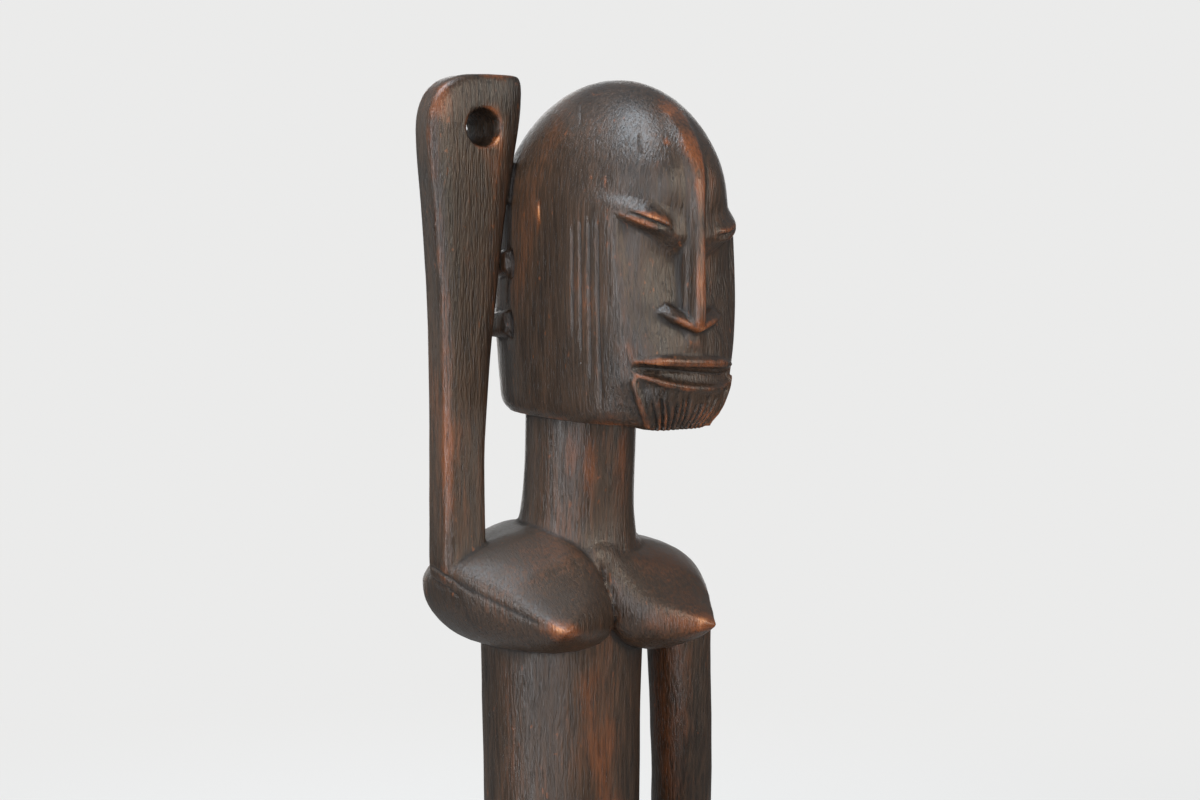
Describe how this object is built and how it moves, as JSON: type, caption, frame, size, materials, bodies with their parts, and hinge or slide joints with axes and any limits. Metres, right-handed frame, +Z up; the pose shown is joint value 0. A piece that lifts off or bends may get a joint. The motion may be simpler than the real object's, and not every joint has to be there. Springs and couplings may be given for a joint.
{
  "type": "equestrian statue",
  "caption": "Dark carved wooden rider with a raised, pierced hand, seated on a bridled horse, in one piece with its low base.",
  "frame": {"origin": "centre of the base's underside", "axes": "+Z up, the horse and the rider face -Y, +X is the rider's left"},
  "size_m": [0.12, 0.236, 0.5],
  "materials": {
    "wood": "satin, dark brown-black patina worn to reddish brown on the edges"
  },
  "bodies": {
    "root": {"carved_statue": "wood"}
  },
  "joints": []
}
